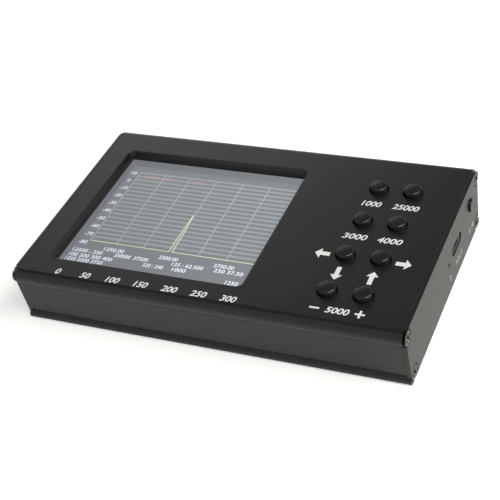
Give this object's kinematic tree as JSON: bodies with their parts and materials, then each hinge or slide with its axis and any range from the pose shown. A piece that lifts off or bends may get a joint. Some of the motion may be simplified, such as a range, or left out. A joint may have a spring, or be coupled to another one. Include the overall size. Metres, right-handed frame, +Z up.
{
  "type": "handheld spectrum analyzer",
  "caption": "Flat handheld radio test instrument: display window on the left, a field of round push buttons on the right, coaxial jacks on one end, charging socket on the other.",
  "frame": {"origin": "middle of the flat underside that the case rests on", "axes": "+X along the case towards the end with the power button and the charging socket, +Y towards the case's back edge, +Z up out of the face with the display"},
  "size_m": [0.148, 0.086, 0.025],
  "materials": {
    "case_coating": "satin black coating on extruded and sheet aluminium",
    "black_screw": "black-coated steel, dull sheen",
    "key_plastic": "smooth satin black plastic",
    "black_resin": "matt black moulded resin",
    "display_glass": "glossy display face over a lit grey picture",
    "light_guide": "milky white light guide",
    "polyimide": "amber flexible film",
    "circuit_board": "green solder mask",
    "tinned_steel": "tinned sheet, soft sheen",
    "zinc_steel": "bright zinc plating",
    "gold_plate": "gold-plated, polished",
    "white_insulator": "white fluoropolymer",
    "lamp_resin": "clear yellowish lamp resin",
    "black_foam": "matt black foam",
    "battery_foil": "laminated foil pouch",
    "red_cable": "red cable sleeve"
  },
  "bodies": {
    "housing": {"top_cover": "case_coating", "bottom_tray": "case_coating", "left_end_plate": "case_coating", "right_end_plate": "case_coating", "end_screw_left_front_bottom": "black_screw", "end_screw_left_front_top": "black_screw", "end_screw_left_back_bottom": "black_screw", "end_screw_left_back_top": "black_screw", "end_screw_right_front_bottom": "black_screw", "end_screw_right_front_top": "black_screw", "end_screw_right_back_bottom": "black_screw", "end_screw_right_back_top": "black_screw", "display_gasket": "black_foam", "display_frame": "tinned_steel", "display_backlight": "light_guide", "display_glass": "display_glass", "display_flex": "polyimide", "front_board": "circuit_board", "key_switch_1": "black_resin", "key_switch_2": "black_resin", "key_switch_3": "black_resin", "key_switch_4": "black_resin", "key_switch_5": "black_resin", "key_switch_6": "black_resin", "key_switch_7": "black_resin", "key_switch_8": "black_resin", "main_board": "circuit_board", "input_shield": "tinned_steel", "generator_shield": "tinned_steel", "board_header": "black_resin", "spacer_1": "zinc_steel", "spacer_2": "zinc_steel", "spacer_3": "zinc_steel", "spacer_4": "zinc_steel", "spacer_screw_1": "zinc_steel", "spacer_screw_2": "zinc_steel", "spacer_screw_3": "zinc_steel", "spacer_screw_4": "zinc_steel", "battery_pack": "battery_foil", "battery_pad": "black_foam", "battery_lead": "red_cable", "usb_shell": "tinned_steel", "usb_tongue": "black_resin", "charge_lamp": "lamp_resin", "power_switch": "black_resin", "rf_input_jack": "gold_plate", "rf_output_jack": "gold_plate", "rf_input_core": "white_insulator", "rf_output_core": "white_insulator", "rf_input_nut": "zinc_steel", "rf_output_nut": "zinc_steel"},
    "key_1": {"key_cap_1": "key_plastic"},
    "key_2": {"key_cap_2": "key_plastic"},
    "key_3": {"key_cap_3": "key_plastic"},
    "key_4": {"key_cap_4": "key_plastic"},
    "key_5": {"key_cap_5": "key_plastic"},
    "key_6": {"key_cap_6": "key_plastic"},
    "key_7": {"key_cap_7": "key_plastic"},
    "key_8": {"key_cap_8": "key_plastic"},
    "power": {"power_button": "key_plastic"}
  },
  "joints": [
    {"name": "key_1_press", "type": "slide", "parent": "housing", "child": "key_1", "axis": [0, 0, -1], "range_m": [0, 0.00035], "stiffness_N_per_m": 800},
    {"name": "key_2_press", "type": "slide", "parent": "housing", "child": "key_2", "axis": [0, 0, -1], "range_m": [0, 0.00035], "stiffness_N_per_m": 800},
    {"name": "key_3_press", "type": "slide", "parent": "housing", "child": "key_3", "axis": [0, 0, -1], "range_m": [0, 0.00035], "stiffness_N_per_m": 800},
    {"name": "key_4_press", "type": "slide", "parent": "housing", "child": "key_4", "axis": [0, 0, -1], "range_m": [0, 0.00035], "stiffness_N_per_m": 800},
    {"name": "key_5_press", "type": "slide", "parent": "housing", "child": "key_5", "axis": [0, 0, -1], "range_m": [0, 0.00035], "stiffness_N_per_m": 800},
    {"name": "key_6_press", "type": "slide", "parent": "housing", "child": "key_6", "axis": [0, 0, -1], "range_m": [0, 0.00035], "stiffness_N_per_m": 800},
    {"name": "key_7_press", "type": "slide", "parent": "housing", "child": "key_7", "axis": [0, 0, -1], "range_m": [0, 0.00035], "stiffness_N_per_m": 800},
    {"name": "key_8_press", "type": "slide", "parent": "housing", "child": "key_8", "axis": [0, 0, -1], "range_m": [0, 0.00035], "stiffness_N_per_m": 800},
    {"name": "power_press", "type": "slide", "parent": "housing", "child": "power", "axis": [-1, 0, 0], "range_m": [0, 0.0012], "stiffness_N_per_m": 600}
  ]
}
